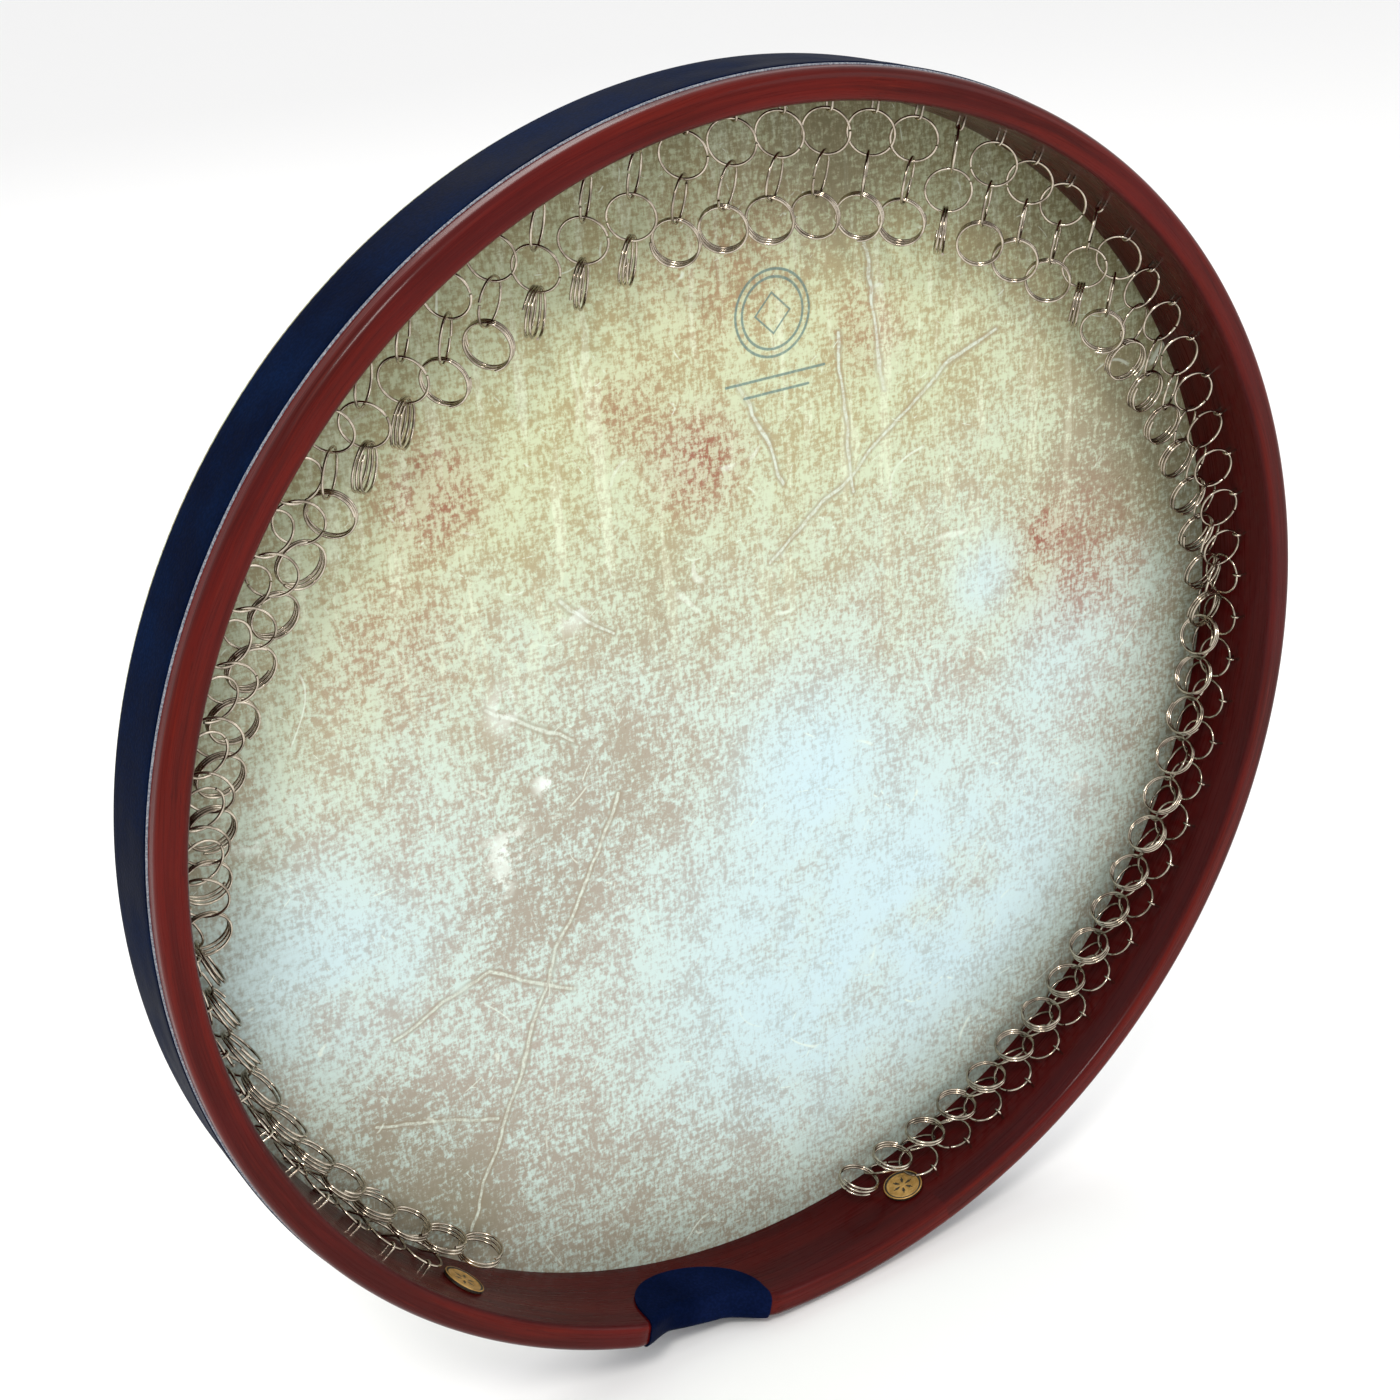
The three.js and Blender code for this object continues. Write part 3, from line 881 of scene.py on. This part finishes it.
# Radius and height of the badge's rings in millimetres, from its centre to the foot of its side.
BADGE_RINGS = (
    (0.6, 1.30),
    (1.2, 1.30),
    (1.5, 1.12),
    (2.0, 1.10),
    (3.0, 1.10),
    (4.0, 1.10),
    (5.0, 1.10),
    (5.6, 1.10),
    (6.6, 1.10),
    (6.9, 1.28),
    (7.3, 1.30),
    (7.6, 1.12),
    (8.2, 1.10),
    (8.5, 1.40),
    (8.8, 1.40),
    (9.0, 1.20),
    (9.0, 0.15),
    (8.8, 0.00),
)


def in_petal(radius, angle):
    """Whether a place on the badge's face is in one of the dark petals round its centre."""
    swing = (angle * BADGE_PETALS / (2 * math.pi)) % 1 - 0.5
    width = PETAL_WIDTH * math.sin(math.pi * (radius / MM - 1.2) / 3.6)
    return PETAL_REACH[0] < radius < PETAL_REACH[1] and abs(swing) < width


def badge_mesh():
    vertices = [(0, 0, BADGE_RINGS[0][1] * MM)]
    for radius, height in BADGE_RINGS:
        for sector in range(BADGE_SECTORS):
            angle = 2 * math.pi * sector / BADGE_SECTORS
            vertices.append((radius * MM * math.cos(angle), radius * MM * math.sin(angle), height * MM))
    faces = [(0, 1 + sector, 1 + (sector + 1) % BADGE_SECTORS) for sector in range(BADGE_SECTORS)]
    for ring in range(len(BADGE_RINGS) - 1):
        for sector in range(BADGE_SECTORS):
            after = (sector + 1) % BADGE_SECTORS
            here = 1 + ring * BADGE_SECTORS
            below = here + BADGE_SECTORS
            faces.append((here + sector, below + sector, below + after, here + after))
    last = 1 + (len(BADGE_RINGS) - 1) * BADGE_SECTORS
    faces.append(tuple(last + sector for sector in range(BADGE_SECTORS)))
    return vertices, faces


def outward(angle):
    return Vector((math.sin(math.radians(angle)), 0, math.cos(math.radians(angle))))


def label_badge(side, angle):
    out = outward(angle)
    up = Vector((0, 1, 0))
    across = up.cross(-out)
    seat = math.sqrt(INNER**2 - BADGE_RADIUS**2) - BADGE_SINK
    centre = out * seat + up * (RIM_Y + BADGE_FROM_RIM)
    place = Matrix((across, up, -out)).transposed().to_4x4()
    place.translation = centre
    vertices, faces = badge_mesh()
    piece = make_piece(
        f"label_badge_{side}",
        vertices,
        faces,
        [BRASS, ENAMEL],
        "drum",
        [f"label_disc_{side}"],
        sharp=30,
        place=place,
    )
    for face in piece.data.polygons:
        middle = face.center
        radius = math.hypot(middle.x, middle.y)
        swept = math.atan2(middle.y, middle.x) + math.pi / BADGE_PETALS
        groove = BADGE_GROOVE[0] < radius < BADGE_GROOVE[1] or radius > BADGE_SIDE_FROM
        if groove or in_petal(radius, swept):
            face.material_index = 1


for side, angle in BADGE_ANGLES.items():
    label_badge(side, angle)


# ---------------------------------------------------------------- chains


def turned_about(vector, axis, degrees):
    return Quaternion(axis, math.radians(degrees)) @ vector


def side_of(angle):
    return 1 if angle >= 0 else -1


def chain_angle(number):
    return FIRST_CHAIN_ANGLE - (number - 1) * CHAIN_PITCH


def hook_point(angle):
    return outward(angle) * (INNER - HOOK_HEIGHT) + Vector((0, RIM_Y + HOOK_FROM_RIM, 0))


def hanging_step(start, length, side):
    """The next step of a hanging chain: down its slant, or leaning in from the wall where it must."""
    limit = INNER - RING - WIRE - RING_WALL_GAP
    across = length * math.cos(HANG_SLANT)
    step = Vector((0, length * math.sin(HANG_SLANT), -across))
    after = start + step
    if math.hypot(after.x, after.z) <= limit:
        return step
    radius = math.hypot(start.x, start.z)
    cosine = (limit**2 - radius**2 - across**2) / (2 * radius * across)
    out = Vector((start.x, 0, start.z)).normalized()
    down = Vector((out.z, 0, -out.x)) * side
    lean = out * cosine + down * math.sqrt(1 - cosine**2)
    return Vector((lean.x * across, step.y, lean.z * across))


def ring_turns(number, angle):
    """How far each ring of a hanging chain is turned about the chain."""
    if abs(angle) > TOP_CHAINS_UNTIL:
        return (0, -SIDE_TURN * side_of(angle), 0)
    turn = -TOP_TURN if number in REVERSED_CHAINS else TOP_TURN
    return (turn, -turn, turn)


def hanging_rings(number, angle):
    """A hanging chain's rings, each (centre, direction it hangs in, normal of its plane)."""
    rings = []
    centre = hook_point(angle)
    for index, turn in enumerate(ring_turns(number, angle)):
        step = hanging_step(centre, LINK_STEP if index else RING, side_of(angle))
        centre = centre + step
        along = step.normalized()
        across = Vector((-along.z, 0, along.x)).normalized()
        normal = turned_about(along.cross(across).normalized(), along, turn)
        rings.append((centre, along, normal))
    return rings


def lying_rings(angle):
    """A lying chain's rings: the first flat on the wall, the second against the skin, the third lifted."""
    out = outward(angle)
    down = Vector((out.z, 0, -out.x)) * side_of(angle)
    steps = []
    for heading, rise in LYING_STEPS:
        flat = math.cos(math.radians(rise))
        step = down * (math.sin(math.radians(heading)) * flat) - out * math.sin(math.radians(rise))
        steps.append(step + Vector((0, math.cos(math.radians(heading)) * flat, 0)))
    rings = []
    centre = hook_point(angle)
    normal = None
    for index, along in enumerate(steps):
        centre = centre + along * (LINK_STEP if index else RING)
        if index < len(steps) - 1:
            normal = along.cross(steps[index + 1]).normalized()
        else:
            normal = turned_about(normal, along, LYING_LAST_TURN * side_of(angle))
            normal = (normal - along * normal.dot(along)).normalized()
        rings.append((centre, along, normal))
    return rings


def chain_rings(number):
    angle = chain_angle(number)
    return hanging_rings(number, angle) if abs(angle) < LYING_FROM else lying_rings(angle)


RING_STEPS = 44
WIRE_SIDES = 8
SINGLE_TURNS = 0.985
# The last ring is a coil: its numbers of turns, and how far it fans out, in millimetres a turn.
COIL_TURNS = (2.25, 2.5, 2.75)
COIL_FAN = (0.4, 1.0)
COIL_SPACING = WIRE * 1.04
SINGLE_SPREAD = 0.25 * MM
# Where the wire starts on its ring, and how far a ring is turned at random, in degrees.
WIRE_STARTS = (70, 110, 250, 290)
WIRE_START_DRIFT = 15
RING_DRIFT = 5


def ring_wire(ring, turns, start, fan=0.0):
    """One ring's wire. More than one turn lies side by side at the top and fans out at the bottom."""
    centre, along, normal = ring
    across = normal.cross(along)
    steps = round(RING_STEPS * turns)
    path = []
    for step in range(steps + 1):
        share = step / steps
        angle = start + 2 * math.pi * turns * share
        radial = across * math.sin(angle) - along * math.cos(angle)
        spread = COIL_SPACING if turns > 1 else SINGLE_SPREAD
        spread += fan * (1 - math.cos(angle)) / 2
        aside = (share - 0.5) * turns * spread
        path.append((centre + radial * RING + normal * aside, radial))
    return tube(path, WIRE / 2, WIRE_SIDES)


def chain_mesh(number):
    """The three rings of one chain, each turned a little differently."""
    draw = random.Random(number)
    parts = []
    for index, (centre, along, normal) in enumerate(chain_rings(number)):
        drift = draw.uniform(-RING_DRIFT, RING_DRIFT) * (2 if index == 1 else 1)
        normal = turned_about(normal, along, drift)
        start = draw.choice(WIRE_STARTS) + draw.uniform(-WIRE_START_DRIFT, WIRE_START_DRIFT)
        start = math.radians(start)
        if index < 2:
            parts.append(ring_wire((centre, along, normal), SINGLE_TURNS, start))
        else:
            turns = draw.choice(COIL_TURNS)
            fan = draw.uniform(*COIL_FAN) * MM
            parts.append(ring_wire((centre, along, normal), turns, start, fan))
    return joined(parts)


cad_chains = sorted(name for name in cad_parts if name.startswith("ring_chain_"))


def body_for_chain(number):
    """The body that a chain's rings ride on: its own, or its neighbour's on the wall, or the drum."""
    if f"ring_chain_{number:02d}" in cad_chains:
        return f"chain_{number:02d}"
    if abs(chain_angle(number)) < LYING_FROM:
        return "drum"
    for neighbour in (number - 1, number + 1):
        if f"ring_chain_{neighbour:02d}" in cad_chains:
            return f"chain_{neighbour:02d}"
    return "drum"


for number in range(1, CHAIN_COUNT + 1):
    node = f"ring_chain_{number:02d}"
    replaced = [node] if node in cad_chains else []
    vertices, faces = chain_mesh(number)
    body = body_for_chain(number)
    make_piece(f"wire_rings_{number:02d}", vertices, faces, [STEEL], body, replaced, sharp=60)


# ---------------------------------------------------------------- hooks

HOOK_LEGS_APART = 3.6 * MM
HOOK_BEND = 1.5 * MM
HOOK_IN_WOOD = 0.3 * MM
HOOK_BEND_STEPS = 8


def hook_wire(number):
    """A bent wire staple: two legs out of the wall, and a round bridge that the first ring hangs on."""
    angle = chain_angle(number)
    out = outward(angle)
    along = chain_rings(number)[0][1]
    inward = -out if abs(angle) >= LYING_FROM else Vector((along.x, 0, along.z)).normalized()
    bridge = hook_point(angle) + inward * WIRE
    foot = INNER + HOOK_IN_WOOD - bridge.dot(out)
    half = HOOK_LEGS_APART / 2
    path = [(-half, foot), (-half, foot * 0.66), (-half, foot * 0.33)]
    for step in range(HOOK_BEND_STEPS + 1):
        turn = math.pi * step / HOOK_BEND_STEPS
        path.append((-half * math.cos(turn), HOOK_BEND * (1 - math.sin(turn))))
    path += [(half, foot * 0.33), (half, foot * 0.66), (half, foot)]
    side = Vector((out.z, 0, -out.x))
    points = [(bridge + Vector((0, y, 0)) + out * depth, side) for y, depth in path]
    return tube(points, WIRE / 2, WIRE_SIDES)


vertices, faces = joined([hook_wire(number) for number in range(1, CHAIN_COUNT + 1)])
make_piece("wire_hooks", vertices, faces, [STEEL], "drum", sharp=60)


# ---------------------------------------------------------------- stage

FLOOR_DROP = 1 * MM
FLOOR_REACH = 30.0
FLOOR_CORNERS = ((-1, -1), (1, -1), (1, 1), (-1, 1))
FLOOR_COLOUR = (0.93, 0.93, 0.93, 1)
WORLD_COLOUR = (1.0, 1.0, 1.0, 1)
WORLD_STRENGTH = 0.95
# Each light's name, place, size, energy and tint. They all face the drum's centre.
LIGHTS = (
    ("key_light", (-1.1, -1.3, 2.0), 0.6, 27, (1.0, 0.97, 0.92)),
    ("fill_light", (1.6, -1.4, 0.9), 1.4, 8, (0.95, 0.98, 1.0)),
    ("back_light", (0.3, 1.8, 1.6), 1.2, 14, (1.0, 0.98, 0.95)),
)


def area_light(name, place, size, energy, tint):
    data = bpy.data.lights.new(name, "AREA")
    data.shape = "DISK"
    data.size = size
    data.energy = energy
    data.color = tint
    light = bpy.data.objects.new(name, data)
    light.location = place
    light.rotation_euler = (-Vector(place)).to_track_quat("-Z", "Y").to_euler()
    scene.collection.objects.link(light)


def make_stage():
    scene.view_settings.view_transform = "Standard"
    floor_z = cad_box[0].z - FLOOR_DROP
    mesh = bpy.data.meshes.new("floor")
    corners = [(x * FLOOR_REACH, y * FLOOR_REACH, floor_z) for x, y in FLOOR_CORNERS]
    mesh.from_pydata(corners, [], [(0, 1, 2, 3)])
    floor = bpy.data.objects.new("floor", mesh)
    scene.collection.objects.link(floor)
    shader = Shader("pale_floor", roughness=0.9)
    shader.set("Base Color", FLOOR_COLOUR)
    mesh.materials.append(shader.material)
    world = bpy.data.worlds.new("soft_studio")
    world.use_nodes = True
    background = world.node_tree.nodes["Background"]
    background.inputs["Color"].default_value = WORLD_COLOUR
    background.inputs["Strength"].default_value = WORLD_STRENGTH
    scene.world = world
    for light in LIGHTS:
        area_light(*light)


make_stage()
